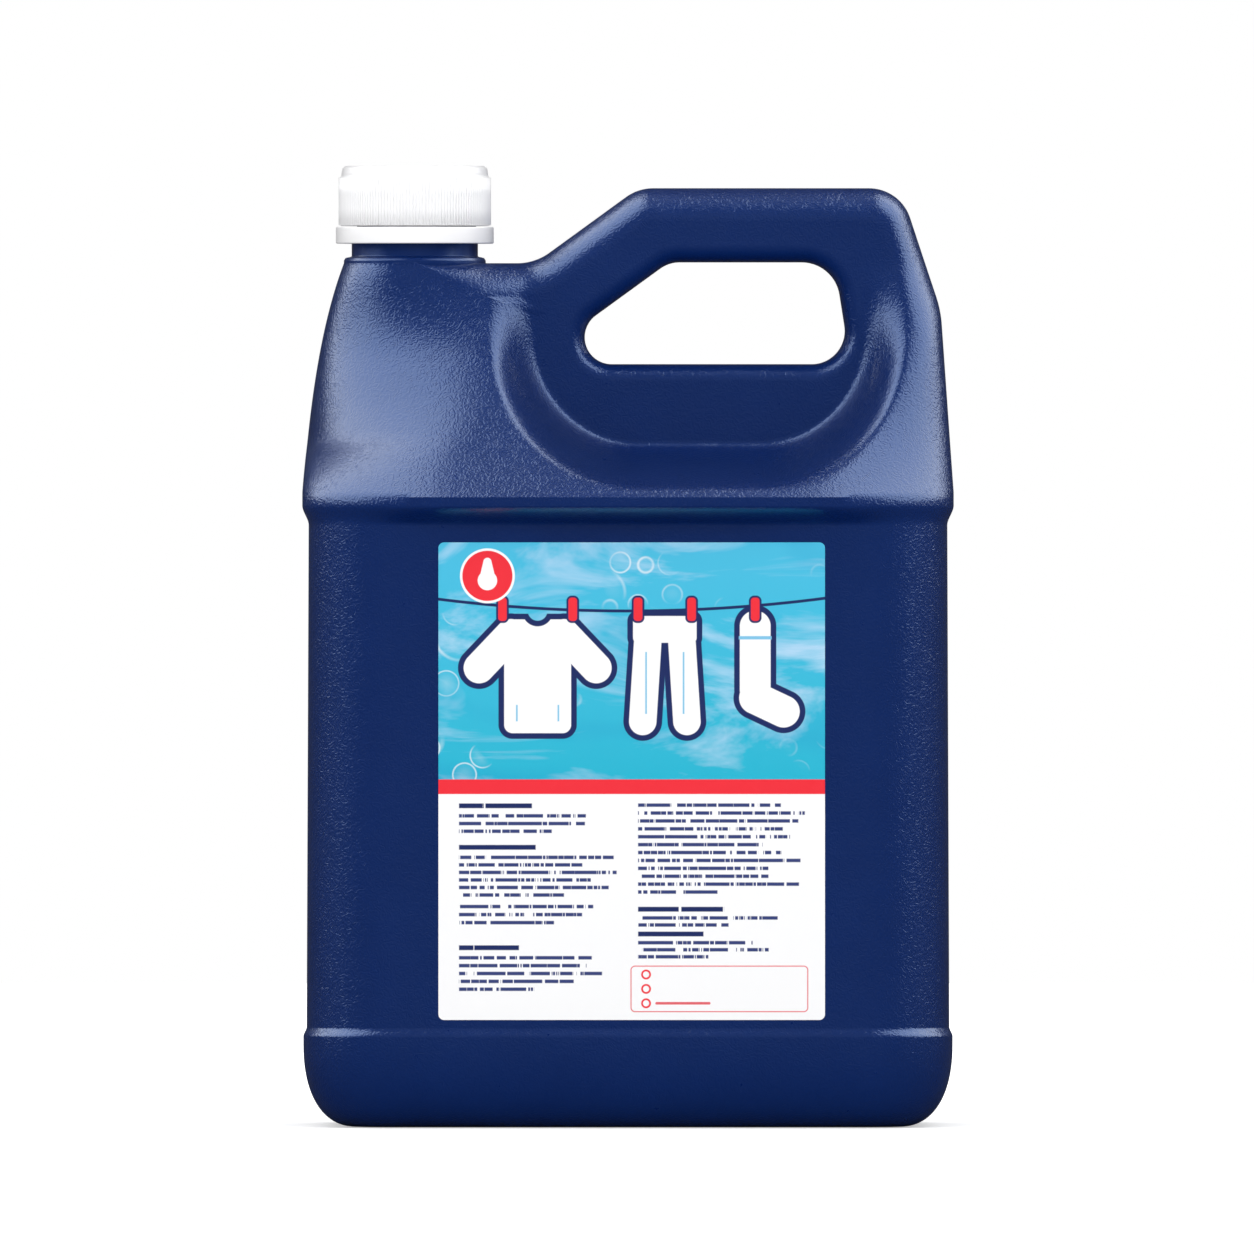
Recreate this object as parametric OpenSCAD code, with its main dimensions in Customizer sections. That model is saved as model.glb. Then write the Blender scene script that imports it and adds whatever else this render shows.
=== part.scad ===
// A laundry detergent jug of nearly 5 litres with a handle in its moulding, a screw cap and a front label.
// The jug stands on z = 0, its middle is the origin, the label faces -Y and the neck is on the left.

/* [Body] */
// Width over the shoulder, the widest place
shoulder_w = 195; // [180:1:215]
// Depth over the shoulder, in its middle
shoulder_d = 146; // [130:1:160]
// How far the shoulder's front and back bulge
crown = 11; // [7:0.5:14]
// Corner radius of the body in plan
corner_r = 26; // [22:0.5:30]
// Length of the shoulder's softer corners along the front
shoulder_corner = 44; // [38:1:52]
// Height of the shoulder's lower edge
shoulder_z = 187; // [165:1:210]
// How far the panels lie inside the shoulder
panel_step = 1.9; // [0.8:0.1:3]
// How much wider each side is at the foot of the panels
panel_draft = 0.6; // [0:0.1:1.5]
// Height of the base band
base_h = 27; // [22:0.5:33]
// How far the base band stands out of the panels
base_step = 1; // [0.4:0.1:2]
// Width of the rounding under the base band
base_round = 16; // [12:0.5:18]
// Height of the raised middle of the base
push_up = 3; // [1:0.5:5]
// Wall thickness of the blown body
wall = 1.4; // [1:0.1:2.2]

/* [Neck] */
// Distance of the neck's axis from the left side
neck_in = 33.5; // [31:0.5:38]
// How far the land under the neck lies below the handle's top
land_down = 22.5; // [20:0.1:26]
// How far the land stands out of the neck
land_out = 2.35; // [1.8:0.05:3]
// Length of the slope below the land, in plan
cone_r = 52; // [44:1:60]
// Height of the neck above its land
neck_h = 26.4; // [25:0.2:30]
// Diameter of the neck under the thread
shank_d = 37.9; // [35:0.1:42]
// How far the root of the thread lies inside that
root_in = 1.55; // [1.2:0.05:1.8]
// How far the bead that holds the tamper ring stands out
bead_out = 1.05; // [0.8:0.05:1.4]
// Wall of the neck at the root of the thread
neck_wall = 1.9; // [1.5:0.1:3]

/* [Handle] */
// Thickness of the handle from front to back
handle_d = 40; // [34:1:44]
// Height of the hollow under the hand above the shoulder's lower edge
pocket_up = 18; // [15:0.5:22]
// Height of the finger hole's lower edge above the shoulder's lower edge
grip_up = 41.3; // [37:0.1:46]
// Height of the finger hole
grip_h = 30.6; // [27:0.1:34]
// Distance of the hole's upper right corner from the right side
grip_in = 35.5; // [32:0.5:40]
// Thickness of the bar over the hole
top_t = 22.2; // [20:0.1:25]
// Thickness of the sloping bar
bar_t = 23.4; // [21:0.1:26]
// Slope of that bar
slope = 36; // [32:0.5:41]
// Length of the saddle between the neck's land and that bar
saddle_w = 14.8; // [12:0.1:18]
// Radius of the handle's outer edges
handle_edge = 10; // [7:0.5:10.5]
// Radius of the edges round the hole
grip_edge = 5; // [3:0.5:6]

/* [Cap] */
// Height of the cap without the tamper ring
cap_h = 18; // [17:0.1:20]
// Thickness of the cap's top
cap_top = 1.6; // [1.2:0.1:2]
// Room for the thread between neck and cap
thread_room = 1.8; // [1.5:0.1:2.2]
// Thickness of the cap's skirt, ribs included
skirt_t = 3.8; // [3:0.1:5]
// Depth of the ribs
rib_depth = 0.55; // [0.3:0.05:0.8]
// Number of ribs
rib_n = 144; // [60:4:152]
// How far the smooth crown above the ribs lies inside them
crown_in = 1; // [0.7:0.1:2]
// Thickness of the sealing wad
liner_t = 1.2; // [0.8:0.1:2]
// Height of the tamper ring
ring_h = 5; // [4.4:0.1:5.4]
// How far the tamper ring stands out of the ribs
ring_out = 0.7; // [0.2:0.1:1.2]

/* [Label] */
// Distance of the label's sides from the rounded corners of the panel
label_in = 11.85; // [8:0.05:30]
// How far the label is stuck to the right of the middle
label_off = 1.1; // [0:0.1:4]
// Height of the label's lower edge above the base band
label_up = 5.3; // [4.5:0.1:20]
// Distance of its upper edge from the shoulder's lower edge
label_down = 12; // [10:0.1:40]
// Radius of the label's corners
label_r = 1.7; // [0.5:0.1:8]
// Thickness of the film
label_t = 0.2; // [0.1:0.05:0.4]

/* [Hidden] */

// Clearance between pieces that must not touch
gap = 0.3;
half_w = shoulder_w / 2;
half_d = shoulder_d / 2;
edge_d = half_d - crown;
panel_w = half_w - panel_step;
panel_d = edge_d - panel_step;
skirt_z = shoulder_z + 3;
grip_z = shoulder_z + grip_up;
hole_top = grip_z + grip_h;
top_z = hole_top + top_t;
land_z = top_z - land_down;
mouth_z = land_z + neck_h;
neck_x = neck_in - half_w;
land_r = shank_d / 2 + land_out;
root_d = shank_d - 2 * root_in;
bead_d = shank_d + 2 * bead_out;
mouth_d = root_d - 2 * neck_wall;
cap_bore_d = root_d + 2 * thread_room;
rib_d = cap_bore_d + 2 * skirt_t;
crown_d = rib_d - 2 * crown_in;
ring_d = rib_d + 2 * ring_out;

// Heights on the neck, from the land upwards
collar_h = 1.8;
bead_h = 1.5;
hook_h = 2;
cap_ceiling = mouth_z + liner_t;
crown_z = cap_ceiling + cap_top;
cap_z = crown_z - cap_h;
ring_z = cap_z - gap - ring_h;
bead_z = ring_z + hook_h + gap;
thread_z = bead_z + 2;

label_w = 2 * (panel_w - corner_r - label_in);
label_z = base_h + label_up;
label_h = shoulder_z - label_down - label_z;

// Segments on each stretch of the outline and of the finger hole, which pair up one to one.
// The inside of the jug takes a share of them.
$detail = 1;
function steps(n) = max(2, round(n * $detail));
function left_n() = steps(9);
function land_n() = steps(4);
function saddle_n() = steps(5);
function slant_n() = steps(3);
function bend_n() = steps(4);
function top_n() = steps(4);
function hip_n() = steps(5);
function flank_n() = steps(4);
function right_n() = steps(7);
function front_n() = steps(14);
function arc_n() = steps(5);
function face_n() = steps(10);
function lip_n() = steps(3);
function base_n() = steps(6);
function ledge_n() = steps(4);
function step_n() = steps(6);

function mix(a, b, t) = a + (b - a) * t;
function clip(t) = max(0, min(1, t));
function ease(t) = let (c = clip(t)) c * c * (3 - 2 * c);
function unit(v) = v / norm(v);
function turn(v) = [-v[1], v[0]];

// Arc of radius r in the corner b of the path a, b, c, as n segments
function corner(a, b, c, r, n) =
    let (u = unit(a - b), v = unit(c - b), half = acos(u * v) / 2,
         mid = b + unit(u + v) * r / sin(half), from = b + u * r / tan(half) - mid,
         sweep = 180 - 2 * half, side = sign(u[0] * v[1] - u[1] * v[0]))
    [for (i = [0:n]) let (t = -side * sweep * i / n)
        mid + [from[0] * cos(t) - from[1] * sin(t), from[0] * sin(t) + from[1] * cos(t)]];

// Points between a and b, both left out
function between(a, b, n) = [for (i = [1:1:n - 1]) mix(a, b, i / n)];

function last(v) = v[len(v) - 1];

// Half a rounded rectangle in plan with a bulging front, from the left parting line to the right one
function half_section(hw, hd, along, across, bulge) =
    let (left = [for (i = [0:arc_n()]) let (a = 90 * i / arc_n())
             [-hw + along - along * cos(a), -hd + across - across * sin(a)]],
         right = [for (i = [arc_n():-1:0]) [-left[i][0], left[i][1]]],
         front = between(last(left), right[0], front_n()))
    concat([[-hw, 0]], [for (p = concat(left, front, right)) p - [0, bulge * (1 - pow(p[0] / half_w, 2))]], [[hw, 0]]);

// One section: its height, half width, half depth at the corners, corner lengths and bulge.
// t is the depth under the outer skin, so that t = wall gives the inside of the jug.
least_corner = 3;
function section(t, z, hw, hd, across = corner_r, along = undef, bulge = 0) =
    [z, hw - t, hd - t, max((is_undef(along) ? across : along) - t, least_corner), max(across - t, least_corner), bulge];

// The foot's rounding is a superellipse, a little fuller than a circle
base_power = 2 / 2.3;
base_w = panel_w + panel_draft + base_step;
base_d = panel_d + base_step;
function foot(t, z, inset) = section(t, z, base_w - inset, base_d - inset, corner_r - inset);
function foot_rows(t) =
    concat([for (s = [[1, 14], [0.9, 12], [0.1, 7], [0, 6]]) foot(t, push_up * s[0] + t, base_round + s[1])],
           [for (i = [0:base_n()]) let (a = 90 * (1 - i / base_n()))
               foot(t, mix(t, base_h - 2, 1 - pow(sin(a), base_power)), base_round * (1 - pow(cos(a), base_power)))]);

// From the base band up over the panels and the shoulder's edge
ledge_h = 3;
lift_h = 6;
function ledge_rows(t) =
    [for (i = [0:ledge_n()]) let (u = i / ledge_n(), out = 1 - ease(u))
        section(t, base_h + ledge_h * u, mix(panel_w + panel_draft, base_w, out), mix(panel_d, base_d, out))];
function lift_rows(t) =
    [for (i = [0:step_n()]) let (u = i / step_n(), s = ease(u))
        section(t, shoulder_z - 1 - lift_h * (1 - u), mix(panel_w, half_w, s), mix(panel_d, edge_d, s),
                corner_r, mix(corner_r, shoulder_corner, s), crown * s)];
function shoulder_rows(t) =
    [for (z = [shoulder_z + 1.5, skirt_z])
        let (middle = form_depth(0, z, t) + t, bulge = crown * (middle - land_r) / (half_d - land_r))
        section(t, z, half_w, middle - bulge, corner_r, shoulder_corner, bulge)];
function sections(t) = concat(foot_rows(t), ledge_rows(t), lift_rows(t), shoulder_rows(t));

// Corners of the finger hole and of the handle's outside, with their radii
hole_lean = 4.8;
hip_in = 15.8;
flank_in = 3.7;
flank_down = 36.6;
run = [cos(slope), sin(slope)];
saddle_x = neck_x + land_r + saddle_w;
grip_right = half_w - grip_in;
grip_left = saddle_x + bar_t / sin(slope) - (land_z - hole_top) / tan(slope);
hole_a = [grip_left - grip_h / tan(slope), grip_z];
hole_b = [grip_right + hole_lean, grip_z];
hole_c = [grip_right, hole_top];
hole_d = [grip_left, hole_top];
hole_r = [8.1, 10, 11.5, 10];
out_e = [saddle_x, land_z];
out_f = out_e + run * land_down / run[1];
out_g = [half_w - hip_in, top_z];
out_h = [half_w - flank_in, top_z - flank_down];
out_r = [16.5, 14, 13, 34];

// Half depth of the shoulder, down to the round land of the neck
shoulder_power = 1.35;
function shoulder_depth(x, z) =
    let (full = half_d - crown * pow(x / half_w, 2), rise = clip((z - shoulder_z - 1.5) / (land_z - shoulder_z - 1.5)))
    land_r + (full - land_r) * pow(1 - rise, shoulder_power);

// 0 in the hollow round the finger hole and 1 on the shoulder, with a smooth slope between
pocket_r = 30;
pocket_z = shoulder_z + pocket_up;
pocket_band = pocket_z - skirt_z - 0.1;
pocket_side = [3.1, 7];
pocket_left = hole_a[0] + pocket_side[0];
pocket_right = grip_right + pocket_side[1];
function shoulder_share(x, z, t) =
    let (dx = max(pocket_left + pocket_r - x, x - (pocket_right - pocket_r), 0),
         dz = max(pocket_z + pocket_r - z, 0), wider = 4 * t * ease((z - skirt_z) / 5))
    ease((norm([dx, dz]) - pocket_r - wider) / pocket_band);

// Half depth of the front at any place, edges apart, t under the outer skin
function form_depth(x, z, t) =
    mix(handle_d / 2, shoulder_depth(x, z + t), shoulder_share(x, z, t)) - t;

// One stop of the outline: its place, the way inwards, and the edge's radius along and across
function stop(p, way, along, across) = [p, way, along, across];

// The left side is a quadratic curve that bends towards left_bow: how far in, and which share of the way up.
// The cone takes over from the body's corner by cone_at of the way, and the land from half way.
left_bow = [3, 0.65];
cone_at = 0.35;
sink_at = 0.7;
function left_stops(t) =
    let (a = [-half_w, skirt_z], b = [-half_w + left_bow[0], mix(skirt_z, land_z, left_bow[1])],
         c = [neck_x - land_r, land_z])
    [for (i = [0:left_n()])
        let (u = i / left_n(), p = mix(mix(a, b, u), mix(b, c, u), u), low = ease(u / cone_at), high = ease(u * 2 - 1))
        stop([p[0] + t, p[1] - t * ease((u - sink_at) / (1 - sink_at))], [1, 0],
             mix(mix(shoulder_corner, cone_r, low), land_r, high) - t, mix(corner_r, half_d, low) - t)];

function land_stops(t) =
    [for (i = [0:land_n()]) let (u = i / land_n(), p = [neck_x + land_r * u, land_z])
        stop(p - [0, t], [0, -1], u * (handle_edge - t), u * (handle_edge + 3 - t))];

function handle_path() =
    let (a = [neck_x + land_r, land_z], h = [half_w, skirt_z],
         e = corner(a, out_e, out_f, out_r[0], saddle_n()), f = corner(out_e, out_f, out_g, out_r[1], bend_n()),
         g = corner(out_f, out_g, out_h, out_r[2], hip_n()), side = corner(out_g, out_h, h, out_r[3], flank_n()))
    concat([a], e, between(last(e), f[0], slant_n()), f, between(last(f), g[0], top_n()), g,
           between(last(g), side[0], 2), side);

function handle_stops(t) =
    let (p = handle_path(), n = len(p) - 1)
    [for (i = [1:n]) let (way = -turn(unit(p[min(i + 1, n)] - p[i - 1])), r = handle_edge - t)
        stop(p[i] + way * t, way, r, r + 3)];

function right_stops(t) =
    let (a = last(handle_path()), b = [half_w, skirt_z])
    [for (i = [1:right_n()]) let (u = i / right_n())
        stop(mix(a, b, u) - [t, 0], [-1, 0], mix(handle_edge, shoulder_corner, ease(u)) - t,
             mix(handle_edge + 3, corner_r, ease(u)) - t)];

function front_stops(t) =
    let (reach = half_w - shoulder_corner)
    [for (i = [1:front_n() - 1]) stop([mix(reach, -reach, i / front_n()), skirt_z], [0, 1], 0, 0)];

// The finger hole, with as many stops as the outline
function hole_path() =
    let (end_n = left_n() + land_n() + saddle_n() + 2,
         a = corner(hole_b, hole_a, hole_d, hole_r[0], end_n), d = corner(hole_a, hole_d, hole_c, hole_r[1], bend_n()),
         c = corner(hole_d, hole_c, hole_b, hole_r[2], hip_n()), b = corner(hole_c, hole_b, hole_a, hole_r[3], right_n()),
         side_n = flank_n() + 2)
    concat(a, between(last(a), d[0], slant_n()), d, between(last(d), c[0], top_n()), c,
           between(last(c), b[0], side_n), b, between(last(b), a[0], front_n()));

// One line of the front from the outline, over the face, into the finger hole
function form_line(s, hole, away, t) =
    let (inner = s[0] + s[1] * s[2], mouth = hole + away * t, lip = mouth + away * (grip_edge - t),
         depth = function (p) form_depth(p[0], p[1], t),
         edge = function (p, flat, r) let (d = depth(p)) [p[0], -max(d - min(r, d) * (1 - flat), 0.02), p[1]],
         lip_r = grip_edge + 2 - t)
    concat([[s[0][0], 0, s[0][1]]],
           [for (i = [0:arc_n()]) let (a = 90 * i / arc_n()) edge(mix(s[0], inner, 1 - cos(a)), sin(a), s[3])],
           [for (i = [1:face_n()]) edge(mix(inner, lip, i / face_n()), 1, 0)],
           [for (i = [1:lip_n()]) let (a = 90 * (1 - i / lip_n())) edge(mix(mouth, lip, 1 - cos(a)), sin(a), lip_r)],
           [[mouth[0], 0, mouth[1]]]);

function form_lines(t) =
    let (stops = concat(left_stops(t), land_stops(t), handle_stops(t), right_stops(t), front_stops(t)),
         hole = hole_path(), n = len(stops))
    [for (i = [0:n - 1]) let (away = turn(unit(hole[(i + 1) % n] - hole[(i + n - 1) % n])))
        form_line(stops[i], hole[i], away, t)];

// Triangles between neighbouring lines of points, with those of no area left out
function skin(lines, closed) =
    let (n = len(lines), m = len(lines[0]))
    [for (i = [0:n - (closed ? 1 : 2)], j = [0:m - 2])
        let (a = lines[i][j], b = lines[(i + 1) % n][j], c = lines[(i + 1) % n][j + 1], d = lines[i][j + 1])
        each [[a, b, c], [a, c, d]]];

function proper(tri) = norm(cross(tri[1] - tri[0], tri[2] - tri[0])) > 0.0001;
function mirrored(tris) = [for (t = tris) [for (p = [t[2], t[1], t[0]]) [p[0], -p[1], p[2]]]];

// The closed form of the jug without its neck, t under the outer skin
module form(t) {
    rows = [for (s = sections(t)) [for (p = half_section(s[1], s[2], s[3], s[4], s[5])) [p[0], p[1], s[0]]]];
    foot = rows[0];
    base = [for (i = [1:len(foot) - 2]) [foot[0], foot[i], foot[i + 1]]];
    lines = form_lines(t);
    face = [for (line = lines) [for (j = [arc_n() + 1:len(line) - 1]) line[j]]];
    rim = [for (i = [0:len(lines) - front_n()]) [for (j = [0:arc_n() + 1]) lines[i][j]]];
    front = [for (tri = concat(skin(rows, false), skin(rim, false), skin(face, true), base))
        let (even = [for (p = tri) [for (c = p) round(c * 10000) / 10000]]) if (proper(even)) even];
    tris = concat(front, mirrored(front));
    polyhedron([for (tri = tris) each tri], [for (i = [0:len(tris) - 1]) [3 * i, 3 * i + 1, 3 * i + 2]]);
}

// Small chamfers of the turned pieces, and how far a solid runs into or past its neighbour
chamfer = 0.5;
over = 1;

// Everything round about the neck's axis is drawn there
module on_neck() {
    translate([neck_x, 0, 0]) rotate_extrude($fn = 96) children();
}

module neck() {
    root_z = land_z - 3 * over;
    shank_z = land_z + collar_h;
    on_neck() polygon([[0, root_z], [land_r - chamfer, root_z], [land_r, land_z], [land_r, land_z + chamfer],
        [land_r - chamfer, shank_z - chamfer], [shank_d / 2 + chamfer / 2, shank_z], [shank_d / 2, shank_z + over],
        [shank_d / 2, bead_z], [bead_d / 2, bead_z], [bead_d / 2, bead_z + bead_h / 2],
        [root_d / 2, thread_z], [root_d / 2, mouth_z - chamfer], [root_d / 2 - chamfer, mouth_z], [0, mouth_z]]);
}

// How deep the bore of the neck runs into the jug below the land
bore_in = 8;
module bottle() {
    bore_z = land_z - bore_in;
    color([0.067, 0.169, 0.384]) difference() {
        union() {
            form(0);
            neck();
        }
        form(wall, $detail = 0.7);
        translate([neck_x, 0, bore_z]) cylinder(h = mouth_z + over - bore_z, d = mouth_d, $fn = 96);
    }
}

// Outline of the ribbed skirt: each rib is a flat-topped tooth, its foot and top as shares of the pitch
rib_foot = 0.3;
rib_face = 0.14;
function rib_outline() =
    [for (i = [0:rib_n - 1], s = [[-rib_foot, 0], [-rib_face, 1], [rib_face, 1], [rib_foot, 0]])
        let (a = 360 * (i + s[0]) / rib_n, r = rib_d / 2 - rib_depth * (1 - s[1])) [r * cos(a), r * sin(a)]];

// The smooth crown above the ribs: its height and the radius of its edge
smooth_h = 3.1;
crown_r = 1.6;

module cap() {
    rib_top = crown_z - smooth_h;
    rib_root = rib_d / 2 - rib_depth;
    color([0.96, 0.96, 0.97]) difference() {
        union() {
            on_neck() polygon(concat([[0, cap_z], [rib_root, cap_z], [rib_root, rib_top]],
                [for (a = [0:15:90]) [crown_d / 2 - crown_r * (1 - cos(a)), crown_z - crown_r * (1 - sin(a))]],
                [[0, crown_z]]));
            translate([neck_x, 0, cap_z]) linear_extrude(rib_top - cap_z) polygon(rib_outline());
        }
        translate([neck_x, 0, cap_z - over]) cylinder(h = cap_ceiling - cap_z + over, d = cap_bore_d, $fn = 96);
    }
}

module cap_liner() {
    color([0.93, 0.93, 0.91]) translate([neck_x, 0, mouth_z])
        cylinder(h = liner_t, d = cap_bore_d - 4 * gap, $fn = 96);
}

module tamper_ring() {
    hook_r = shank_d / 2 + gap;
    hook_z = bead_z - gap;
    inner_r = bead_d / 2 + gap;
    outer_r = ring_d / 2;
    top = ring_z + ring_h;
    color([0.96, 0.96, 0.97]) on_neck()
        polygon([[hook_r, ring_z + chamfer], [hook_r + chamfer, ring_z], [outer_r - chamfer, ring_z],
            [outer_r, ring_z + chamfer], [outer_r, top - chamfer], [outer_r - chamfer, top],
            [inner_r, top], [inner_r, hook_z], [hook_r, hook_z]]);
}

module front_label() {
    color([0.3, 0.76, 0.88]) translate([label_off, -panel_d, label_z]) rotate([90, 0, 0]) linear_extrude(label_t)
        translate([-label_w / 2, 0]) hull() {
            for (x = [label_r, label_w - label_r], y = [label_r, label_h - label_r]) {
                translate([x, y]) circle(r = label_r, $fn = 32);
            }
        }
}

bottle();
cap();
cap_liner();
tamper_ring();
front_label();
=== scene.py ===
import math

import bmesh
import bpy
import numpy as np
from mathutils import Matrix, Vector


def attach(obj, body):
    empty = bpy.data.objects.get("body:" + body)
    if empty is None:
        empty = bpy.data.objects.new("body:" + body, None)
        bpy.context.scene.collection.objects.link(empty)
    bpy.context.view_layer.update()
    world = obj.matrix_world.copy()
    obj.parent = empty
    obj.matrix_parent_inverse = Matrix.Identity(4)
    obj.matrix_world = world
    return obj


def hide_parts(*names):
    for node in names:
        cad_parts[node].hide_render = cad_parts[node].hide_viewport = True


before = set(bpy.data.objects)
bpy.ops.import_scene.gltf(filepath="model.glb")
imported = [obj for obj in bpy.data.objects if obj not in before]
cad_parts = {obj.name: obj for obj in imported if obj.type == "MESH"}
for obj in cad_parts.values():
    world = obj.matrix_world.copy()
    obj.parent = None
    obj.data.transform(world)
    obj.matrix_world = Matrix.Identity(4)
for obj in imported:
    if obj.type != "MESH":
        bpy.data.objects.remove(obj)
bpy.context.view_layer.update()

# Lengths of the jug are in millimetres and become metres when a mesh is made
MM = 0.001

# Body
HALF_W = 97.5
HALF_D = 73.0
CROWN = 11.0
CORNER_R = 26.0
SHOULDER_CORNER = 44.0
CONE_R = 52.0
SHOULDER_Z = 187.0
PANEL_STEP = 1.9
PANEL_DRAFT = 0.6
BASE_H = 27.0
BASE_STEP = 1.0
BASE_ROUND = 16.0
BASE_POWER = 2 / 2.3
PUSH_UP = 3.0
WALL = 1.4
SKIRT_Z = SHOULDER_Z + 3.0
PANEL_D = HALF_D - CROWN - PANEL_STEP

# Neck
NECK_X = -64.0
LAND_Z = 258.6
LAND_R = 21.3
NECK_H = 26.4
MOUTH_Z = LAND_Z + NECK_H
MOUTH_R = 15.5
SHANK_R = 18.95
ROOT_R = 17.4
BEAD_R = 20.0

# Handle and finger hole
TOP_Z = 281.1
HANDLE_D = 40.0
GRIP_Z = 228.3
GRIP_H = 30.6
GRIP_LEFT = 12.3
GRIP_RIGHT = 62.0
SLOPE = math.radians(36)
BAR_T = 23.4
HANDLE_EDGE = 10.0
GRIP_EDGE = 5.0
HIP_IN = 15.8
FLANK_IN = 3.7
FLANK_DOWN = 36.6
POCKET_Z = 205.0
POCKET_R = 30.0
POCKET_BAND = POCKET_Z - SKIRT_Z - 0.1

# Cap and tamper ring
LINER_T = 1.2
CAP_TOP = 1.6
CAP_H = 18.0
RIB_R = 23.0
RIB_DEPTH = 0.55
RIB_COUNT = 144
RIB_BAR_R = 0.42
RIB_FOOT = 0.25
RIB_ROOM = 0.7
CROWN_R = 22.0
CAP_BORE_R = 19.2
RING_H = 5.0
RING_R = 23.7
GAP = 0.3
CEILING_Z = MOUTH_Z + LINER_T
CROWN_Z = CEILING_Z + CAP_TOP
CAP_Z = CROWN_Z - CAP_H
RIB_TOP_Z = CROWN_Z - 3.1
RING_Z = CAP_Z - GAP - RING_H
HOOK_H = 2.0
BEAD_Z = RING_Z + HOOK_H + GAP
THREAD_Z = BEAD_Z + 2.0
THREAD_PITCH = 4.2333

# Label
LABEL_W = 115.5
LABEL_OFF = 1.1
LABEL_H = 142.7
LABEL_Z = BASE_H + 5.3
LABEL_R = 1.7
LABEL_T = 0.2
STRIPE_TOP_Z = 104.2
STRIPE_LOW_Z = 99.8
LINE_Z = 154.5


def mix(a, b, t):
    return a + (b - a) * t


def ease(t):
    c = np.clip(t, 0.0, 1.0)
    return c * c * (3 - 2 * c)


def unit(v):
    return v / np.linalg.norm(v, axis=-1, keepdims=True)


def turn(v):
    return np.stack([-v[..., 1], v[..., 0]], -1)


def shares(n):
    """The n + 1 even shares from 0 to 1."""
    return np.arange(n + 1) / n


def corner(a, b, c, r, n):
    """Arc of radius r in the corner b of the path a, b, c, as n segments."""
    a, b, c = (np.array(p, float) for p in (a, b, c))
    u, v = unit(a - b), unit(c - b)
    half = math.acos(float(u @ v)) / 2
    middle = b + unit(u + v) * r / math.sin(half)
    start = b + u * r / math.tan(half) - middle
    side = np.sign(u[0] * v[1] - u[1] * v[0])
    t = -side * (math.pi - 2 * half) * shares(n)
    return middle + np.stack([start[0] * np.cos(t) - start[1] * np.sin(t),
                              start[0] * np.sin(t) + start[1] * np.cos(t)], -1)


def between(a, b, n):
    """Points on the line from a to b, both left out."""
    return mix(np.array(a, float), np.array(b, float), (shares(n)[1:-1])[:, None])


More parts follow.
